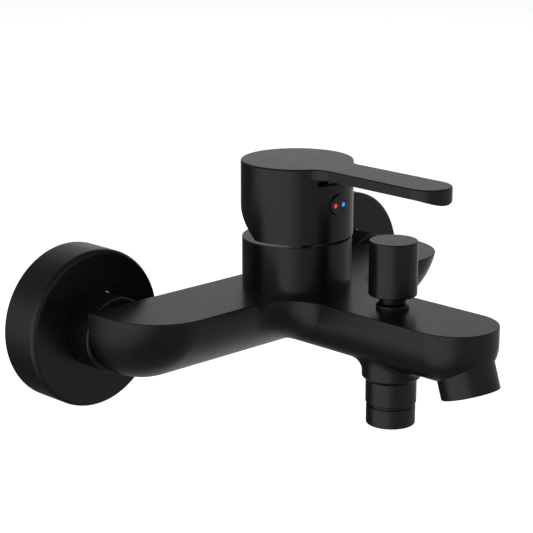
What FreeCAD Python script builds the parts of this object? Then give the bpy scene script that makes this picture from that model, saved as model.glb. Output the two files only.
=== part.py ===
import FreeCAD, Part
import math
import os

# Single-lever bath and shower mixer for wall mounting, with pull-up diverter.
# Frame: X along the wall (right when facing it), +Y into the wall, +Z up.
# Origin: on the finished wall, midway between the two wall connections.
V = FreeCAD.Vector

# ---- driving dimensions, millimetres ----
inlet_spacing = 150.0      # between the two wall connections and the two inlets
eccentric = 10.0           # rise from the wall thread axis to the inlet axis
body_top = 22.5            # flat top face of the cast body
body_back = -31.46         # flat back face of the cast body

arm_half = 90.2            # half length of the cross arm
arm_arc_r = 40.0           # underside arc of the cross arm
arm_arc_y = -30.7
arm_arc_z = 31.85
arm_end_r = 25.0           # rounding of the arm ends
waist_r = 17.5             # fillets between arm and spout

spout_half = 17.4          # half width of the spout, and radius of its tip
spout_tip_y = -141.1       # centre of the rounded tip
spout_bottom = -0.3
spout_under_r = 15.5       # rounding along the underside
edge_r = 0.4               # break on the crisp top edges

axis_y = -56.9             # handle and cartridge axis
neck_r = 22.6
neck_top = 42.75
handle_r = 23.08
handle_bottom = 44.0
handle_top = 74.7
relief_angle = 38.0        # slope of the relief under the back of the handle
relief_start = 0.9         # how far behind the axis the relief begins
lever_root_half = 9.4
lever_root_r = 9.0         # blend of the lever into the round handle
lever_tip_half = 9.75
lever_tip_y = -126.0       # centre of the rounded lever tip
lever_drop = 0.5           # fall of the lever's top face towards the tip
lever_thick = 4.1
lever_lip_r = 20.0         # concave underside leading into the tip lip
lever_lip_y = -126.3
plug_z = 59.05             # index plug on the front of the handle
plug_r = 4.4
plug_face = -80.7
plug_seat = -76.5
dot_x = 2.25               # hot and cold dots
dot_r = 0.95

knob_y = -109.8            # diverter and shower outlet axis
knob_r = 9.65
knob_bottom = 28.0
knob_top = 49.9
stem_r = 2.5               # diverter stem
bush_r = 6.6               # flange of the stem's guide bush
bush_neck_r = 5.3
boss_r = 11.8              # shower outlet boss
boss_bottom = -6.8
lower_seat = -2.6          # diverter seats: shower below, bath spout above
upper_seat = 12.0
head_low = lower_seat + 1.5
head_top = head_low + 2.5
nipple_r = 10.2
thread_r = 9.9             # G1/2 thread at its pitch diameter
nipple_bottom = -25.1
nipple_step = -16.7        # round groove between collar and thread
groove_r = 0.8

aerator_tilt = 18.1        # forward lean of the spout outlet
aerator_y = -150.3         # centre of the outlet rim
aerator_z = -3.65
aerator_r = 11.6

rosette_r = 32.4
rosette_depth = 18.2
rosette_wall = 1.6
nut_r = 15.3
nut_front = -30.9
tail_r = 10.0              # spigots that carry the union nuts
g12_r = 10.48              # G1/2 male thread
g34_r = 13.2               # G3/4 male thread
wall_thread = 16.0         # length of thread going into the wall

chamber_r = 17.6           # bore for a 35 mm cartridge
chamber_floor = 14.0
port_x = 7.5               # hot and cold ports under the cartridge
inlet_port_y = axis_y - 5.0
outlet_port_y = axis_y + 8.0
pivot_z = 36.5             # lever pivot inside the cartridge
lean = 12.5                # forward lean of the lever stem when shut
stem_arm = 8.0             # from the pivot down to the stem's ball
disc_r = 12.4
disc_y = axis_y + stem_arm * math.sin(math.radians(lean))

parts = {}


def cyl(r, z0, z1, x=0.0, y=0.0):
    return Part.makeCylinder(r, z1 - z0, V(x, y, z0))


def cyl_y(r, y0, y1, x, z):
    return Part.makeCylinder(r, y1 - y0, V(x, y0, z), V(0, 1, 0))


def cyl_x(r, x0, x1, y, z):
    return Part.makeCylinder(r, x1 - x0, V(x0, y, z), V(1, 0, 0))


def box(x0, x1, y0, y1, z0, z1):
    return Part.makeBox(x1 - x0, y1 - y0, z1 - z0, V(x0, y0, z0))


def tube(r_out, r_in, z0, z1, x=0.0, y=0.0):
    return cyl(r_out, z0, z1, x, y).cut(cyl(r_in, z0 - 1, z1 + 1, x, y))


def tube_y(r_out, r_in, y0, y1, x, z):
    return cyl_y(r_out, y0, y1, x, z).cut(cyl_y(r_in, y0 - 1, y1 + 1, x, z))


def loop(points):
    return Part.Face(Part.makePolygon(points + [points[0]]))


def is_circle(edge, radius):
    curve = edge.Curve
    return curve.TypeId == "Part::GeomCircle" and abs(curve.Radius - radius) < 0.01


def circles_at(shape, radius, axis, value):
    found = []
    for edge in shape.Edges:
        if is_circle(edge, radius) and abs(getattr(edge.Curve.Center, axis) - value) < 0.01:
            found.append(edge)
    return found


def coil(mean_r, wire_r, z0, z1, turns, y):
    height = z1 - z0 - 2 * wire_r
    helix = Part.makeHelix(height / turns, height, mean_r)
    ring = Part.Wire([Part.makeCircle(wire_r, V(mean_r, 0, 0), V(0, 1, 0))])
    spring = Part.Wire(helix.Edges).makePipeShell([ring], True, True)
    spring.translate(V(0, y, z0 + wire_r))
    return spring


# ---- cast body ----
def arm_solid():
    front_y = arm_arc_y - math.sqrt(arm_arc_r ** 2 - (arm_arc_z - body_top) ** 2)
    low_z = arm_arc_z - math.sqrt(arm_arc_r ** 2 - (body_back - arm_arc_y) ** 2)
    bend = math.radians(225)
    middle_y = arm_arc_y + arm_arc_r * math.cos(bend)
    middle = V(-arm_half, middle_y, arm_arc_z + arm_arc_r * math.sin(bend))
    back = V(-arm_half, body_back, body_top)
    front = V(-arm_half, front_y, body_top)
    low = V(-arm_half, body_back, low_z)
    outline = Part.Wire([
        Part.makeLine(back, front),
        Part.Arc(front, middle, low).toShape(),
        Part.makeLine(low, back),
    ])
    arm = Part.Face(outline).extrude(V(2 * arm_half, 0, 0))
    ends = [edge for edge in arm.Edges if is_circle(edge, arm_arc_r)]
    return arm.makeFillet(arm_end_r, ends)


def spout_solid():
    root_y = -45.0
    right = V(spout_half, root_y, spout_bottom)
    right_end = V(spout_half, spout_tip_y, spout_bottom)
    tip = V(0, spout_tip_y - spout_half, spout_bottom)
    left_end = V(-spout_half, spout_tip_y, spout_bottom)
    left = V(-spout_half, root_y, spout_bottom)
    outline = Part.Wire([
        Part.makeLine(right, right_end),
        Part.Arc(right_end, tip, left_end).toShape(),
        Part.makeLine(left_end, left),
        Part.makeLine(left, right),
    ])
    spout = Part.Face(outline).extrude(V(0, 0, body_top - spout_bottom))
    under = []
    for edge in spout.Edges:
        bounds = edge.BoundBox
        if bounds.ZMax < spout_bottom + 0.01 and bounds.YLength > 1:
            under.append(edge)
    return spout.makeFillet(spout_under_r, under)


def waist_edges(shape):
    found = []
    for edge in shape.Edges:
        bounds = edge.BoundBox
        central = max(abs(bounds.XMin), abs(bounds.XMax)) < spout_half + 1
        if central and -71 < bounds.YMin and bounds.YMax < -53 and bounds.ZMin < body_top - 0.1:
            found.append(edge)
    return found


def boss_edges(shape):
    found = []
    for edge in shape.Edges:
        bounds = edge.BoundBox
        near = bounds.XMax < boss_r + 1 and bounds.XMin > -boss_r - 1
        level = bounds.ZMin > spout_bottom - 0.5 and bounds.ZMax < 12
        if near and level and abs(bounds.Center.y - knob_y) < 13 and bounds.YMin > knob_y - 13:
            found.append(edge)
    return found


def tilted(r, h0, h1):
    lean_rad = math.radians(aerator_tilt)
    up = V(0, math.sin(lean_rad), math.cos(lean_rad))
    base = V(0, aerator_y, aerator_z) + up * h0
    return Part.makeCylinder(r, h1 - h0, base, up)


def top_edges(shape):
    found = []
    for edge in shape.Edges:
        bounds = edge.BoundBox
        if abs(bounds.ZMin - body_top) < 0.01 and abs(bounds.ZMax - body_top) < 0.01:
            found.append(edge)
    return found


def body_solid():
    body = arm_solid().fuse(spout_solid()).removeSplitter()
    body = body.makeFillet(waist_r, waist_edges(body))
    body = body.makeFillet(edge_r, top_edges(body))
    body = body.fuse(cyl(boss_r, boss_bottom, 8, 0, knob_y))
    body = body.makeFillet(6.0, boss_edges(body))
    body = body.makeChamfer(boss_r - nipple_r, circles_at(body, boss_r, "z", boss_bottom))
    rim = tilted(aerator_r, 0, 16)
    low_edge = min(rim.Edges, key=lambda edge: edge.BoundBox.ZMax)
    body = body.fuse(rim.makeFillet(0.5, [low_edge]))
    body = body.fuse(cyl(20.9, body_top - 1, 40.5, 0, axis_y))
    return body


def arm_side(side, inner, outer, r, y, z):
    return cyl_x(r, min(side * inner, side * outer), max(side * inner, side * outer), y, z)


def duct(start, end, r):
    direction = end - start
    return Part.makeCylinder(r, direction.Length, start, direction)


def waterways():
    cuts = [cyl(chamber_r, chamber_floor, 42, 0, axis_y), cyl(18.9, 36.4, 42, 0, axis_y)]
    for side in (-1, 1):
        x = side * inlet_spacing / 2
        cuts.append(cyl_y(tail_r + 0.05, body_back - 9, body_back + 1, x, eccentric))
        cuts.append(cyl_y(6.0, -50, body_back - 8, x, eccentric))
        cuts.append(arm_side(side, 12, inlet_spacing / 2, 5.5, -49, 7))
        port = V(side * port_x, inlet_port_y, chamber_floor + 0.5)
        cuts.append(duct(V(side * 12.5, -49, 7), port, 3.6))
    cuts.append(cyl(4.5, 6.5, chamber_floor + 0.5, 0, outlet_port_y))
    cuts.append(cyl_y(5.0, knob_y, -45, 0, 6.5))
    cuts.append(cyl(7.0, lower_seat, upper_seat, 0, knob_y))
    cuts.append(cyl(5.0, upper_seat - 1, 15, 0, knob_y))
    cuts.append(cyl(6.0, upper_seat + 2, body_top + 1, 0, knob_y))
    cuts.append(cyl(8.9, boss_bottom - 1, lower_seat, 0, knob_y))
    cuts.append(cyl_y(3.0, -145, knob_y, 0, 16.8))
    cuts.append(tilted(10.25, -1, 9))
    cuts.append(tilted(6.0, 8, 20))
    return cuts


parts["body"] = body_solid().cut(waterways())


# ---- wall connections, one set per inlet ----
def coupler(x):
    def circle(r, y, z):
        return Part.Wire([Part.makeCircle(r, V(x, y, z), V(0, 1, 0))])
    outside = cyl_y(g34_r, -21.8, -10, x, eccentric)
    offset_part = [circle(g34_r, -10, eccentric), circle(11.5, -2.5, 0)]
    outside = outside.fuse(Part.makeLoft(offset_part, True, True))
    outside = outside.fuse(cyl_y(9.6, -2.5, 0, x, 0))
    thread = cyl_y(g12_r, 0, wall_thread, x, 0)
    outside = outside.fuse(thread.makeChamfer(0.8, circles_at(thread, g12_r, "y", wall_thread)))
    bore = cyl_y(8, -23, -12, x, eccentric)
    bore = bore.fuse(Part.makeLoft([circle(8, -12, eccentric), circle(7, -2.5, 0)], True, True))
    bore = bore.fuse(cyl_y(7, -2.5, wall_thread + 1, x, 0))
    return outside.cut(bore)


def union_nut(x):
    nut = cyl_y(nut_r, nut_front, -14, x, eccentric)
    nut = nut.makeFillet(0.8, circles_at(nut, nut_r, "y", nut_front))
    nut = nut.cut(cyl_y(tail_r + 0.3, nut_front - 1, -14, x, eccentric))
    return nut.cut(cyl_y(g34_r + 0.1, -26.4, -13, x, eccentric))


def inlet_tail(x):
    tail = cyl_y(tail_r, body_back - 8.8, -26, x, eccentric)
    tail = tail.fuse(cyl_y(12.9, -26.3, -23.8, x, eccentric))
    return tail.cut(cyl_y(6.5, body_back - 10, -20, x, eccentric))


def rosette(x):
    shell = cyl_y(rosette_r, -rosette_depth, 0, x, eccentric)
    shell = shell.makeFillet(1.9, circles_at(shell, rosette_r, "y", -rosette_depth))
    inner_r = rosette_r - rosette_wall
    shell = shell.cut(cyl_y(inner_r, rosette_wall - rosette_depth, 1, x, eccentric))
    return shell.cut(cyl_y(nut_r + 0.1, -rosette_depth - 1, 1, x, eccentric))


for side, word in ((-1, "left"), (1, "right")):
    side_x = side * inlet_spacing / 2
    parts["inlet_tail_" + word] = inlet_tail(side_x)
    parts["union_nut_" + word] = union_nut(side_x)
    parts["inlet_washer_" + word] = tube_y(12.8, 8.0, -23.8, -21.8, side_x, eccentric)
    parts["coupler_" + word] = coupler(side_x)
    parts["rosette_" + word] = rosette(side_x)


# ---- cartridge ----
def ports(shape, r, z0, z1):
    for x in (-port_x, port_x):
        shape = shape.cut(cyl(r, z0, z1, x, inlet_port_y))
    return shape.cut(cyl(r + 0.9, z0, z1, 0, outlet_port_y))


def cartridge_housing():
    shell = cyl(17.4, 18.5, 36.5, 0, axis_y).fuse(cyl(13.2, 36.5, 43.5, 0, axis_y))
    shell = shell.cut(cyl(15.5, 18, 33.6, 0, axis_y))
    return shell.cut(cyl(11.2, 33, 44, 0, axis_y))


def cartridge_nut():
    nut = tube(18.85, 13.4, 36.5, 41.0, 0, axis_y)
    nut = nut.cut(box(-20, 20, axis_y - 1.6, axis_y + 1.6, 39.5, 42))
    return nut.cut(box(-1.6, 1.6, axis_y - 20, axis_y + 20, 39.5, 42))


def moving_disc():
    disc = cyl(disc_r, 22.0, 25.4, 0, disc_y)
    recess = cyl(10.0, 21, 23.6, 0, disc_y)
    recess = recess.cut(box(-20, 20, disc_y - 20, axis_y - 1.2, 20, 24))
    return disc.cut(recess)


def turret():
    guide = cyl(15.42, 30.3, 33.5, 0, axis_y).fuse(cyl(11.12, 33.5, 43.2, 0, axis_y))
    guide = guide.cut(box(-3.6, 3.6, axis_y - 5.6, axis_y + 5.6, 30, 44))
    return guide.cut(cyl_x(1.52, -9.6, 9.6, axis_y, pivot_z))


def leaning(shape):
    shape.rotate(V(0, axis_y, pivot_z), V(1, 0, 0), lean)
    return shape


def lever_stem():
    stem = box(-3.5, 3.5, axis_y - 3.5, axis_y + 3.5, pivot_z - 3.5, pivot_z + 27)
    stem = stem.fuse(cyl(2.0, pivot_z - stem_arm, pivot_z - 3, 0, axis_y))
    stem = stem.fuse(Part.makeSphere(2.5, V(0, axis_y, pivot_z - stem_arm)))
    return leaning(stem.cut(cyl_x(1.55, -5, 5, axis_y, pivot_z)))


parts["cartridge_seal"] = ports(cyl(16.5, chamber_floor, 14.8, 0, axis_y), 4.0, 13, 16)
parts["cartridge_base"] = ports(cyl(17.3, 14.8, 18.5, 0, axis_y), 3.6, 14, 19)
parts["fixed_disc"] = ports(cyl(15.4, 18.5, 22.0, 0, axis_y), 3.6, 18, 23)
parts["cartridge_housing"] = cartridge_housing()
parts["cartridge_nut"] = cartridge_nut()
parts["moving_disc"] = moving_disc()
parts["disc_carrier"] = cyl(disc_r, 25.4, 30.0, 0, disc_y).cut(cyl(2.56, 25.9, 31, 0, disc_y))
parts["rotating_guide"] = turret()
parts["pivot_pin"] = cyl_x(1.5, -9.5, 9.5, axis_y, pivot_z)
parts["lever_stem"] = lever_stem()


# ---- neck cover ----
def neck_cover():
    cover = cyl(neck_r, body_top, neck_top, 0, axis_y)
    cover = cover.makeFillet(0.25, circles_at(cover, neck_r, "z", neck_top))
    cover = cover.cut(cyl(21.2, body_top - 1, neck_top - 1.5, 0, axis_y))
    return cover.cut(cyl(17.5, neck_top - 2, neck_top + 1, 0, axis_y))


parts["neck_cover"] = neck_cover()


# ---- handle ----
def lever_plan():
    root_y = axis_y - 10
    right = V(lever_root_half, root_y, 60)
    right_end = V(lever_tip_half, lever_tip_y, 60)
    left_end = V(-lever_tip_half, lever_tip_y, 60)
    left = V(-lever_root_half, root_y, 60)
    outline = Part.Wire([
        Part.makeLine(right, right_end),
        Part.Arc(right_end, V(0, lever_tip_y - lever_tip_half, 60), left_end).toShape(),
        Part.makeLine(left_end, left),
        Part.makeLine(left, right),
    ])
    return Part.Face(outline).extrude(V(0, 0, 20))


def lever_side():
    tip_y = lever_tip_y - lever_tip_half - 2
    root_y = axis_y - 10
    front_y = axis_y - handle_r
    fall_y = front_y - 4.5
    fall = lever_drop / (fall_y - tip_y)
    under_root = handle_top - lever_thick
    under_lip = under_root - fall * (fall_y - lever_lip_y)
    reach = lever_lip_y - tip_y
    lip_z = under_lip - lever_lip_r + math.sqrt(lever_lip_r ** 2 - reach ** 2)
    bend_z = under_lip - lever_lip_r + math.sqrt(lever_lip_r ** 2 - (reach / 2) ** 2)
    a = V(-12, root_y, handle_top)
    b = V(-12, fall_y, handle_top)
    c = V(-12, tip_y, handle_top - lever_drop)
    d = V(-12, tip_y, lip_z)
    e = V(-12, lever_lip_y, under_lip)
    f = V(-12, fall_y, under_root)
    g = V(-12, root_y, under_root)
    bend = Part.Arc(d, V(-12, (d.y + e.y) / 2, bend_z), e).toShape()
    lines = [Part.makeLine(a, b), Part.makeLine(b, c), Part.makeLine(c, d), bend]
    lines += [Part.makeLine(e, f), Part.makeLine(f, g), Part.makeLine(g, a)]
    return Part.Face(Part.Wire(lines)).extrude(V(24, 0, 0))


def upright_at(shape, x, low_z):
    found = []
    for edge in shape.Edges:
        bounds = edge.BoundBox
        upright = bounds.XLength < 0.01 and bounds.YLength < 0.01 and bounds.ZLength > 1
        if upright and abs(abs(bounds.XMin) - x) < 0.3 and bounds.ZMin > low_z:
            found.append(edge)
    return found


def handle_outline_edges(shape):
    found = []
    for edge in shape.Edges:
        bounds = edge.BoundBox
        crease = bounds.YLength < 0.01
        if bounds.ZMin > handle_top - lever_drop - 0.05 and not crease:
            found.append(edge)
    return found


def handle_solid():
    handle = cyl(handle_r, handle_bottom, handle_top, 0, axis_y)
    handle = handle.fuse(lever_plan().common(lever_side())).removeSplitter()
    handle = handle.makeFillet(lever_root_r, upright_at(handle, lever_root_half, 69))
    handle = handle.makeFillet(0.7, handle_outline_edges(handle))
    start = axis_y + relief_start
    end = axis_y + handle_r + 2
    rise = (end - start) * math.tan(math.radians(relief_angle))
    relief = loop([
        V(-30, start, handle_bottom),
        V(-30, end, handle_bottom + rise),
        V(-30, end, handle_bottom - 5),
        V(-30, start, handle_bottom - 5),
    ]).extrude(V(60, 0, 0))
    handle = handle.cut(relief)
    hollow = cyl(19.8, handle_bottom - 1, 68, 0, axis_y)
    hollow = hollow.cut(cyl(10.5, 51, 69, 0, axis_y - 3))
    hollow = hollow.cut(cyl_y(5.5, axis_y - handle_r, axis_y - 10, 0, plug_z))
    handle = handle.cut(hollow)
    socket = box(-3.55, 3.55, axis_y - 3.55, axis_y + 3.55, pivot_z + 13, pivot_z + 27.5)
    handle = handle.cut(leaning(socket))
    handle = handle.cut(cyl_y(2.55, axis_y - 20, axis_y - 5, 0, plug_z))
    handle = handle.cut(cyl_y(plug_r + 0.05, axis_y - 30, plug_seat, 0, plug_z))
    under = handle_top - lever_thick
    return handle.cut(box(-9.6, 9.6, axis_y - 30, axis_y - 17.5, under - 3.2, under))


def index_plug():
    plug = cyl_y(plug_r, plug_face, plug_seat, 0, plug_z)
    plug = plug.makeFillet(0.4, circles_at(plug, plug_r, "y", plug_face))
    for x in (-dot_x, dot_x):
        plug = plug.cut(cyl_y(dot_r, plug_face - 1, plug_face + 0.5, x, plug_z))
    return plug


def hex_socket(shape, across, y0, y1, z):
    corners = []
    for step in range(6):
        angle = math.radians(60 * step)
        corner_r = across / math.sqrt(3)
        corners.append(V(corner_r * math.cos(angle), y0, z + corner_r * math.sin(angle)))
    return shape.cut(loop(corners).extrude(V(0, y1 - y0, 0)))


parts["handle"] = handle_solid()
parts["handle_screw"] = hex_socket(cyl_y(2.5, -74.0, -66.1, 0, plug_z), 2.5, -75.0, -71.0, plug_z)
parts["index_plug"] = index_plug()
parts["index_hot"] = cyl_y(dot_r - 0.02, plug_face - 0.05, plug_face + 0.5, -dot_x, plug_z)
parts["index_cold"] = cyl_y(dot_r - 0.02, plug_face - 0.05, plug_face + 0.5, dot_x, plug_z)


# ---- diverter ----
def knob():
    shape = cyl(knob_r, knob_bottom, knob_top, 0, knob_y)
    shape = shape.makeFillet(0.5, circles_at(shape, knob_r, "z", knob_top))
    shape = shape.makeFillet(0.5, circles_at(shape, knob_r, "z", knob_bottom))
    return shape.cut(cyl(stem_r + 0.02, knob_bottom - 1, 44.1, 0, knob_y))


def bush():
    rim_top = body_top + 1.5
    shoulder_top = rim_top + 1.0
    shape = cyl(bush_r, body_top, rim_top, 0, knob_y)
    shape = shape.fuse(Part.makeCone(bush_r, bush_neck_r, 1.0, V(0, knob_y, rim_top)))
    shape = shape.makeFillet(0.8, circles_at(shape, bush_r, "z", rim_top))
    shape = shape.fuse(cyl(bush_neck_r, shoulder_top, 27.5, 0, knob_y))
    shape = shape.fuse(cyl(5.95, 20.0, body_top, 0, knob_y))
    return shape.cut(cyl(stem_r + 0.06, 19, 28, 0, knob_y))


def diverter_stem():
    stem = cyl(stem_r, head_top, 44.0, 0, knob_y)
    stem = stem.fuse(cyl(6.3, head_low, head_top, 0, knob_y))
    return stem.fuse(cyl(1.9, head_low - 3.7, head_low, 0, knob_y))


def hex_nut(across, z0, z1, y):
    corners = []
    for step in range(6):
        angle = math.radians(60 * step)
        corner_r = across / math.sqrt(3)
        corners.append(V(corner_r * math.cos(angle), y + corner_r * math.sin(angle), z0))
    return loop(corners).extrude(V(0, 0, z1 - z0)).cut(cyl(1.92, z0 - 1, z1 + 1, 0, y))


parts["diverter_knob"] = knob()
parts["diverter_bush"] = bush()
parts["diverter_stem"] = diverter_stem()
parts["diverter_seal_lower"] = tube(6.4, 1.92, lower_seat, head_low, 0, knob_y)
parts["diverter_seal_upper"] = tube(6.4, 4.6, head_top, head_top + 1.5, 0, knob_y)
parts["diverter_nut"] = hex_nut(5.5, lower_seat - 2.0, lower_seat, knob_y)
parts["diverter_spring"] = coil(3.9, 0.4, head_top, 20.0, 7, knob_y)


# ---- shower outlet with non-return valve ----
def nipple():
    shape = cyl(nipple_r, nipple_step, boss_bottom, 0, knob_y)
    lower = cyl(thread_r, nipple_bottom, nipple_step, 0, knob_y)
    lower = lower.makeFillet(0.5, circles_at(lower, thread_r, "z", nipple_bottom))
    shape = shape.fuse(lower).fuse(cyl(8.85, boss_bottom - 1, lower_seat, 0, knob_y))
    shape = shape.cut(Part.makeTorus(nipple_r, groove_r, V(0, knob_y, nipple_step)))
    shape = shape.cut(cyl(5.0, -12, 0, 0, knob_y))
    return shape.cut(cyl(7.2, nipple_bottom - 1, -11.0, 0, knob_y))


def check_body():
    shape = cyl(7.15, -22.0, -11.1, 0, knob_y)
    shape = shape.cut(cyl(3.6, -14, -11, 0, knob_y))
    shape = shape.cut(cyl(5.9, -20.6, -13.0, 0, knob_y))
    ring = tube(5.9, 2.6, -23, -20.5, 0, knob_y)
    for turn in (0, 120, 240):
        spoke = box(-0.8, 0.8, knob_y, knob_y + 7, -24, -20)
        spoke.rotate(V(0, knob_y, 0), V(0, 0, 1), turn)
        ring = ring.cut(spoke)
    return shape.cut(ring).cut(cyl(1.28, -23, -20, 0, knob_y))


def check_poppet():
    return cyl(4.8, -14.6, -13.05, 0, knob_y).fuse(cyl(1.2, -21.5, -14, 0, knob_y))


parts["shower_nipple"] = nipple()
parts["check_body"] = check_body()
parts["check_poppet"] = check_poppet()
parts["check_spring"] = coil(2.6, 0.25, -20.6, -14.6, 5, knob_y)


# ---- aerator ----
def ring_tilted(r_out, r_in, h0, h1):
    return tilted(r_out, h0, h1).cut(tilted(r_in, h0 - 1, h1 + 1))


def aerator_core():
    core = tilted(8.55, 1.6, 7.6)
    lean_rad = math.radians(aerator_tilt)
    up = V(0, math.sin(lean_rad), math.cos(lean_rad))
    across = V(0, math.cos(lean_rad), -math.sin(lean_rad))
    centre = V(0, aerator_y, aerator_z)
    for ring_r, count in ((0.0, 1), (3.2, 6), (6.3, 12)):
        for step in range(count):
            angle = 2 * math.pi * step / count
            place = centre + V(ring_r * math.cos(angle), 0, 0) + across * (ring_r * math.sin(angle))
            core = core.cut(Part.makeCylinder(1.1, 9, place, up))
    return core


parts["aerator_housing"] = ring_tilted(10.2, 8.6, 0.8, 7.8)
parts["aerator_core"] = aerator_core()
parts["aerator_seal"] = ring_tilted(10.1, 7.0, 7.8, 9.0)

os.makedirs("parts", exist_ok=True)
for name, shape in parts.items():
    shape.exportStep("parts/" + name + ".step")
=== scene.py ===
import math

import bmesh
import bpy
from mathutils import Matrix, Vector


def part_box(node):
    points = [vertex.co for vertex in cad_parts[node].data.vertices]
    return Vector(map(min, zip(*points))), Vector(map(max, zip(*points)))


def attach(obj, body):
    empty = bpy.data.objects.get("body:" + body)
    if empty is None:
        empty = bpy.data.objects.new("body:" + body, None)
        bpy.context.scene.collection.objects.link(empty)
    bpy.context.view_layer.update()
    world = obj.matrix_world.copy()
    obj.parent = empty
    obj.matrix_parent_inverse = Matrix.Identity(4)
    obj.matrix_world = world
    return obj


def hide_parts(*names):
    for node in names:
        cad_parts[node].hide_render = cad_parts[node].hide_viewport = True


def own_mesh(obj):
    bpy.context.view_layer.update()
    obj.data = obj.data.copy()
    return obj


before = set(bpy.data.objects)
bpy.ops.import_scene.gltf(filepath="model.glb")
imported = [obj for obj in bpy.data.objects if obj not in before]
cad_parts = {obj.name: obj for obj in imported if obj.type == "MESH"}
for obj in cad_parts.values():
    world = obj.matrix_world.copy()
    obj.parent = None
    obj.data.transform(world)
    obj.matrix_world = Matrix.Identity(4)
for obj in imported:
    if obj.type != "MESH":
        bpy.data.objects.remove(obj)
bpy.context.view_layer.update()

# The wall mounted bath faucet: its finishes, the threads that the cover plates hide, the springs
# as their own pieces, the studio and the camera. Everything is in metres: X along the
# wall, +Y into it, +Z up, origin between the two wall connections.

MM = 0.001


# ---------------------------------------------------------------- material helpers

class Finish:
    """A material with a principled shader, and the texture nodes that feed it."""

    def __init__(self, name, colour, roughness, metallic=0.0, ior=1.5):
        self.material = bpy.data.materials.new(name)
        self.material.use_nodes = True
        self.nodes = self.material.node_tree.nodes
        self.links = self.material.node_tree.links
        self.shader = self.nodes["Principled BSDF"]
        self.set("Base Color", (*colour, 1.0))
        self.set("Roughness", roughness)
        self.set("Metallic", metallic)
        self.set("IOR", ior)
        self.place = self.nodes.new("ShaderNodeTexCoord").outputs["Object"]

    def set(self, socket, value):
        self.shader.inputs[socket].default_value = value

    def noise(self, size, detail=2.0, stretch=(1.0, 1.0, 1.0)):
        """Noise with blotches of about this size, longer along an axis with a stretch over 1."""
        scaled = self.nodes.new("ShaderNodeMapping")
        scaled.inputs["Scale"].default_value = [1.0 / (size * s) for s in stretch]
        texture = self.nodes.new("ShaderNodeTexNoise")
        texture.inputs["Scale"].default_value = 1.0
        texture.inputs["Detail"].default_value = detail
        self.links.new(self.place, scaled.inputs["Vector"])
        self.links.new(scaled.outputs["Vector"], texture.inputs["Vector"])
        return texture.outputs["Fac"]

    def spread(self, factor, low, high):
        """The factor's middle half, spread from low to high."""
        mapped = self.nodes.new("ShaderNodeMapRange")
        mapped.inputs["From Min"].default_value = 0.25
        mapped.inputs["From Max"].default_value = 0.75
        mapped.inputs["To Min"].default_value = low
        mapped.inputs["To Max"].default_value = high
        self.links.new(factor, mapped.inputs["Value"])
        return mapped.outputs["Result"]

    def vary_roughness(self, factor, low, high):
        """Runs the roughness from low to high with the factor."""
        self.links.new(self.spread(factor, low, high), self.shader.inputs["Roughness"])

    def vary_colour(self, factor, first, second):
        """Runs from the first colour to the second over the factor's middle part."""
        ramp = self.nodes.new("ShaderNodeValToRGB")
        ramp.color_ramp.elements[0].position = 0.3
        ramp.color_ramp.elements[1].position = 0.7
        ramp.color_ramp.elements[0].color = (*first, 1.0)
        ramp.color_ramp.elements[1].color = (*second, 1.0)
        self.links.new(factor, ramp.inputs["Fac"])
        self.links.new(ramp.outputs["Color"], self.shader.inputs["Base Color"])

    def bump(self, factor, height):
        """Raises the surface by up to height metres where the factor is 1."""
        bumped = self.nodes.new("ShaderNodeBump")
        bumped.inputs["Distance"].default_value = height
        bumped.inputs["Strength"].default_value = 1.0
        self.links.new(factor, bumped.inputs["Height"])
        self.links.new(bumped.outputs["Normal"], self.shader.inputs["Normal"])


def scaled_colour(colour, factor):
    return [min(1.0, c * factor) for c in colour]


def black_coating(name, shade=0.0025, roughness=0.28):
    """Satin black coating on brass: an even film with a faint orange peel."""
    finish = Finish(name, (shade, shade, shade * 1.03), roughness, ior=1.48)
    finish.vary_roughness(finish.noise(6 * MM, 3.0), roughness - 0.02, roughness + 0.02)
    finish.vary_colour(
        finish.noise(11 * MM, 2.0),
        (shade * 0.9, shade * 0.9, shade * 0.93),
        (shade * 1.1, shade * 1.1, shade * 1.13),
    )
    finish.bump(finish.noise(0.45 * MM, 1.0), 0.0005 * MM)
    return finish.material


def simple(name, colour, roughness):
    """Moulded, pressed or lapped surface of an inner piece, with slight variation."""
    finish = Finish(name, colour, roughness)
    finish.vary_roughness(finish.noise(2 * MM, 3.0), roughness * 0.85, roughness * 1.15)
    finish.vary_colour(
        finish.noise(4 * MM, 2.0), scaled_colour(colour, 0.93), scaled_colour(colour, 1.06)
    )
    finish.bump(finish.noise(0.3 * MM, 2.0), 0.002 * MM)
    return finish.material


def turned(name, colour, roughness):
    """Machined metal with fine marks across its Y axis, faint stains and duller patches."""
    finish = Finish(name, colour, roughness, metallic=1.0)
    finish.vary_roughness(finish.noise(1.4 * MM, 3.0), roughness * 0.85, roughness * 1.15)
    finish.vary_colour(
        finish.noise(5 * MM, 3.0), scaled_colour(colour, 0.9), scaled_colour(colour, 1.04)
    )
    finish.bump(finish.noise(0.25 * MM, 2.0, (8.0, 1.0, 8.0)), 0.0012 * MM)
    return finish.material


def glowing_ink(name, colour, glow):
    """Bright glossy enamel of an index dot, with a painted glow from within so that it reads as
    colour.
    """
    finish = Finish(name, colour, 0.22)
    finish.vary_roughness(finish.noise(0.4 * MM, 2.0), 0.18, 0.28)
    finish.vary_colour(finish.noise(0.6 * MM, 2.0), scaled_colour(colour, 0.92), colour)
    # painted glow: the dot emits its own colour as light
    finish.set("Emission Color", (*colour, 1.0))
    finish.set("Emission Strength", glow)
    finish.bump(finish.noise(0.3 * MM, 1.0), 0.002 * MM)
    return finish.material


brass = turned("machined_brass", (0.78, 0.55, 0.25), 0.26)
steel = turned("stainless_steel", (0.62, 0.61, 0.59), 0.24)

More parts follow.
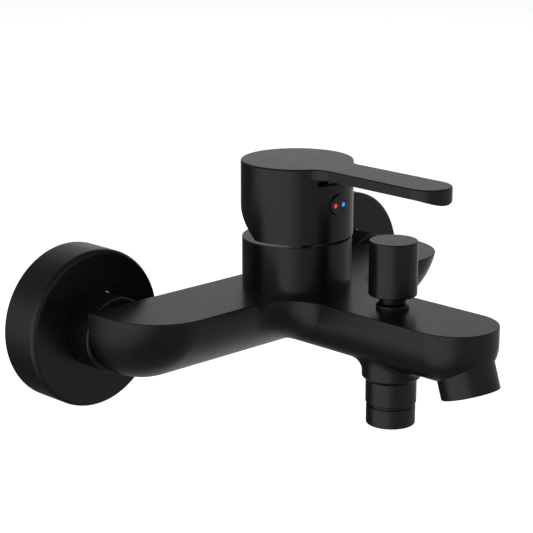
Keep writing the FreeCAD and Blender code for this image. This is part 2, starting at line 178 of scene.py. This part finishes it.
MATERIALS = {
    "matt_black": black_coating("satin_black_coating"),
    "plug_black": black_coating("plug_plastic", 0.006, 0.3),
    "brass": brass,
    "steel": steel,
    "ceramic": simple("ceramic", (0.86, 0.84, 0.8), 0.2),
    "acetal": simple("acetal", (0.72, 0.72, 0.7), 0.45),
    "rubber": simple("rubber", (0.02, 0.02, 0.02), 0.6),
    "fibre": simple("fibre", (0.09, 0.05, 0.04), 0.85),
    "index_red": glowing_ink("index_red", (0.9, 0.03, 0.025), 0.35),
    "index_blue": glowing_ink("index_blue", (0.05, 0.3, 0.9), 0.3),
}

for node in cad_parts.values():
    slot = node.material_slots[0].material.name.split(".")[0]
    node.material_slots[0].material = MATERIALS[slot]


# ---------------------------------------------------------------- threaded eccentric couplers

PITCH = 1.814 * MM            # both threads, G1/2 and G3/4
THREAD_DEPTH = 1.16 * MM
FLANK_STEEPNESS = 1.3         # flattens the thread's crests and roots
ROOT_WIDTH = 0.15
POINTS_ROUND = 96
ROWS_PER_TURN = 10
OFFSET_STEPS = 12

# Sizes along the wall thread's axis, from the wall plane at 0; negative is in front of the wall.
CHAMFER = 0.8 * MM
CHAMFER_DROP = 1.2 * CHAMFER
BIG_THREAD_END = -10 * MM
OFFSET_START, OFFSET_END = -9.8 * MM, -2.7 * MM
SHOULDER_RADIUS = 11.4 * MM
SHOULDER_AND_NECK = ((-2.5 * MM, 11.2 * MM), (-2.3 * MM, 9.7 * MM), (-0.3 * MM, 9.6 * MM),
                     (0.0, 9.9 * MM))
WALL_THREAD_START = 0.3 * MM
WALL_BORE, INLET_BORE = 7.0 * MM, 8.0 * MM
BORE_OFFSET_START, BORE_OFFSET_END = -2.5 * MM, -12 * MM
BORE_CHAMFER = 0.4 * MM
SHARP_ANGLE = math.radians(50)


def thread_radius(major, along, angle, start, end):
    """Radius of a 55 degree pipe thread at a point, running out at both ends."""
    phase = (along / PITCH - angle / math.tau) % 1.0
    crest = min(1.0, max(0.0, FLANK_STEEPNESS * abs(2.0 * phase - 1.0) - ROOT_WIDTH))
    run_out = max(0.0, min(1.0, (along - start) / PITCH, (end - along) / PITCH))
    return major - THREAD_DEPTH * (1.0 - crest) * run_out


def ring(along, height, radius):
    """A round row of points: each is its place along Y, its centre's height and its radius."""
    return [(along, height, radius)] * POINTS_ROUND


def thread_rings(start, end, height, major):
    """Rings that carry a thread of this major radius."""
    rows = int((end - start) / PITCH * ROWS_PER_TURN)
    rings = []
    for row in range(rows + 1):
        along = start + (end - start) * row / rows
        angles = [math.tau * step / POINTS_ROUND for step in range(POINTS_ROUND)]
        radii = [thread_radius(major, along, angle, start, end) for angle in angles]
        rings.append([(along, height, radius) for radius in radii])
    return rings


def offset_rings(start, end, first, last):
    """Rings that move smoothly from one (height, radius) to another."""
    rings = []
    for number in range(OFFSET_STEPS + 1):
        part = number / OFFSET_STEPS
        eased = part * part * (3.0 - 2.0 * part)
        height, radius = (a + (b - a) * eased for a, b in zip(first, last))
        rings.append(ring(start + (end - start) * part, height, radius))
    return rings


def coupler_rings(inner, outer, inlet, big, small):
    """The outside from the inlet to the wall, then the bore on the way back."""
    return [
        ring(inner, inlet, big - CHAMFER_DROP),
        *thread_rings(inner + CHAMFER, BIG_THREAD_END, inlet, big),
        *offset_rings(OFFSET_START, OFFSET_END, (inlet, big), (0.0, SHOULDER_RADIUS)),
        *(ring(along, 0.0, radius) for along, radius in SHOULDER_AND_NECK),
        *thread_rings(WALL_THREAD_START, outer - CHAMFER, 0.0, small),
        ring(outer, 0.0, small - CHAMFER_DROP),
        ring(outer, 0.0, WALL_BORE + BORE_CHAMFER),
        ring(outer - BORE_CHAMFER, 0.0, WALL_BORE),
        *offset_rings(BORE_OFFSET_START, BORE_OFFSET_END, (0.0, WALL_BORE), (inlet, INLET_BORE)),
        ring(inner + BORE_CHAMFER, inlet, INLET_BORE),
        ring(inner, inlet, INLET_BORE + BORE_CHAMFER),
    ]


def tube_mesh(name, rings, middle):
    """A closed skin over the rings, the last joined to the first, round the line x = middle."""
    points = []
    for row in rings:
        for step, (along, height, radius) in enumerate(row):
            angle = math.tau * step / POINTS_ROUND
            across, up = radius * math.cos(angle), radius * math.sin(angle)
            points.append((middle + across, along, height + up))
    faces = []
    for number in range(len(rings)):
        here, there = number * POINTS_ROUND, (number + 1) % len(rings) * POINTS_ROUND
        for step in range(POINTS_ROUND):
            after = (step + 1) % POINTS_ROUND
            faces.append((here + step, there + step, there + after, here + after))
    mesh = bpy.data.meshes.new(name)
    mesh.from_pydata(points, [], faces)
    shape = bmesh.new()
    shape.from_mesh(mesh)
    bmesh.ops.recalc_face_normals(shape, faces=shape.faces)
    shape.to_mesh(mesh)
    shape.free()
    for face in mesh.polygons:
        face.use_smooth = True
    mesh.set_sharp_from_angle(angle=SHARP_ANGLE)
    return mesh


def coupler(node):
    """The CAD coupler's sizes with real threads on both ends."""
    low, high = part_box(node)
    big = (high[0] - low[0]) / 2
    middle = (high[0] + low[0]) / 2
    small = -low[2]
    inlet = high[2] - big
    mesh = tube_mesh(
        node + "_threaded", coupler_rings(low[1], high[1], inlet, big, small), middle
    )
    piece = bpy.data.objects.new(node + "_threaded", mesh)
    bpy.context.scene.collection.objects.link(piece)
    mesh.materials.append(brass)
    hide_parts(node)
    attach(piece, "faucet")


coupler("coupler_left")
coupler("coupler_right")


# ---------------------------------------------------------------- compression springs as their own pieces


def pressed_spring(node):
    """The CAD coil as its own piece in steel, carried by the faucet body."""
    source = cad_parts[node]
    piece = bpy.data.objects.new(node + "_coil", source.data.copy())
    bpy.context.scene.collection.objects.link(piece)
    piece.matrix_world = source.matrix_world.copy()
    piece.data.materials.clear()
    piece.data.materials.append(steel)
    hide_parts(node)
    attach(piece, "faucet")
    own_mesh(piece)


pressed_spring("diverter_spring")
pressed_spring("check_spring")


# ---------------------------------------------------------------- studio

FLOOR_Z = -0.30
FLOOR_HALF = 9.0
PAPER = (0.86, 0.86, 0.86)
LAMP_Z = 2.6
LAMP_SIZE = 6.0
LAMP_POWER = 90
WHITE = (1.0, 1.0, 1.0, 1.0)

floor_mesh = bpy.data.meshes.new("floor")
floor_mesh.from_pydata(
    [(x * FLOOR_HALF, y * FLOOR_HALF, FLOOR_Z) for x, y in ((-1, -1), (1, -1), (1, 1), (-1, 1))],
    [],
    [(0, 1, 2, 3)],
)
floor = bpy.data.objects.new("floor", floor_mesh)
bpy.context.scene.collection.objects.link(floor)
floor_finish = Finish("floor_paper", PAPER, 0.9)
floor_finish.set("Specular IOR Level", 0.1)
floor.data.materials.append(floor_finish.material)
floor.visible_glossy = False      # the photograph's coating shows no floor

overhead = bpy.data.lights.new("overhead_light", "AREA")
overhead.shape = "RECTANGLE"
overhead.size = LAMP_SIZE
overhead.size_y = LAMP_SIZE
overhead.energy = LAMP_POWER
lamp = bpy.data.objects.new("overhead_light", overhead)
bpy.context.scene.collection.objects.link(lamp)
lamp.location = (0, 0, LAMP_Z)    # an area light faces down when it isn't turned
lamp.visible_glossy = False
lamp.visible_camera = False

world = bpy.data.worlds.new("studio")
bpy.context.scene.world = world
world.use_nodes = True
world_nodes = world.node_tree.nodes
world_links = world.node_tree.links
heading = world_nodes.new("ShaderNodeTexCoord").outputs["Generated"]


def by_height(stops):
    """Grey studio light by the height of the direction, from -1 straight down to 1 straight up."""
    split = world_nodes.new("ShaderNodeSeparateXYZ")
    world_links.new(heading, split.inputs[0])
    scaled = world_nodes.new("ShaderNodeMapRange")
    scaled.inputs["From Min"].default_value = -1.0
    world_links.new(split.outputs["Z"], scaled.inputs["Value"])
    ramp = world_nodes.new("ShaderNodeValToRGB")
    ramp.color_ramp.interpolation = "EASE"
    for number, (height, grey) in enumerate(stops):
        position = (height + 1.0) / 2.0
        if number < 2:
            stop = ramp.color_ramp.elements[number]
            stop.position = position
        else:
            stop = ramp.color_ramp.elements.new(position)
        stop.color = (grey, grey, grey, 1.0)
    world_links.new(scaled.outputs["Result"], ramp.inputs["Fac"])
    return ramp.outputs["Color"]


def lobe(azimuth, elevation, strength, inner, outer):
    """Soft light round a direction, full within the inner angle and gone past the outer one."""
    turn, rise = math.radians(azimuth), math.radians(elevation)
    centre = (math.sin(turn) * math.cos(rise), -math.cos(turn) * math.cos(rise), math.sin(rise))
    match = world_nodes.new("ShaderNodeVectorMath")
    match.operation = "DOT_PRODUCT"
    match.inputs[1].default_value = centre
    world_links.new(heading, match.inputs[0])
    fade = world_nodes.new("ShaderNodeMapRange")
    fade.interpolation_type = "SMOOTHERSTEP"
    fade.inputs["From Min"].default_value = math.cos(math.radians(outer))
    fade.inputs["From Max"].default_value = math.cos(math.radians(inner))
    fade.inputs["To Max"].default_value = strength
    world_links.new(match.outputs["Value"], fade.inputs["Value"])
    return fade.outputs["Result"]


def joined(operation, first, second):
    """The result of a math node on two outputs."""
    result = world_nodes.new("ShaderNodeMath")
    result.operation = operation
    world_links.new(first, result.inputs[0])
    world_links.new(second, result.inputs[1])
    return result.outputs[0]


# Each pair is a height and the grey there.
STUDIO_GREYS = ((-1.0, 0.13), (-0.55, 0.26), (-0.2, 0.35), (0.12, 0.36), (0.6, 0.16), (1.0, 0.1))

grey = by_height(STUDIO_GREYS)
left_light = lobe(azimuth=-93, elevation=-6, strength=0.62, inner=12, outer=62)
back_light = lobe(azimuth=132, elevation=13, strength=0.2, inner=8, outer=54)
floor_glow = lobe(azimuth=125, elevation=-36, strength=0.2, inner=4, outer=36)
dark_flag = lobe(azimuth=178, elevation=-20, strength=0.8, inner=12, outer=50)
light = joined("ADD", joined("ADD", grey, left_light), joined("ADD", back_light, floor_glow))
light = joined("SUBTRACT", light, joined("MULTIPLY", light, dark_flag))
studio = world_nodes["Background"]
studio.inputs["Color"].default_value = WHITE
world_links.new(light, studio.inputs["Strength"])

# The camera and diffuse light see plain white; only reflections see the studio's shape.
backdrop = world_nodes.new("ShaderNodeBackground")
backdrop.inputs["Color"].default_value = WHITE
path = world_nodes.new("ShaderNodeLightPath")
plain = joined("MAXIMUM", path.outputs["Is Camera Ray"], path.outputs["Is Diffuse Ray"])
mixed = world_nodes.new("ShaderNodeMixShader")
world_links.new(plain, mixed.inputs[0])
world_links.new(studio.outputs[0], mixed.inputs[1])
world_links.new(backdrop.outputs[0], mixed.inputs[2])
world_links.new(mixed.outputs[0], world_nodes["World Output"].inputs[0])

bpy.context.scene.view_settings.view_transform = "Standard"
bpy.context.scene.view_settings.look = "None"


# ---------------------------------------------------------------- camera

AZIMUTH = math.radians(-44.573)
ELEVATION = math.radians(14.895)
CAMERA_PLACE = (-0.4952, -0.5417, 0.2135)
SENSOR_MM = 36.0
LENS_MM = 116.98

camera_data = bpy.data.cameras.new("camera")
camera_data.sensor_width = SENSOR_MM
camera_data.lens = LENS_MM
camera = bpy.data.objects.new("camera", camera_data)
bpy.context.scene.collection.objects.link(camera)
back = Vector((
    math.sin(AZIMUTH) * math.cos(ELEVATION),
    -math.cos(AZIMUTH) * math.cos(ELEVATION),
    math.sin(ELEVATION),
))
camera.location = CAMERA_PLACE
camera.rotation_mode = "QUATERNION"
camera.rotation_quaternion = (-back).to_track_quat("-Z", "Y")
bpy.context.scene.camera = camera
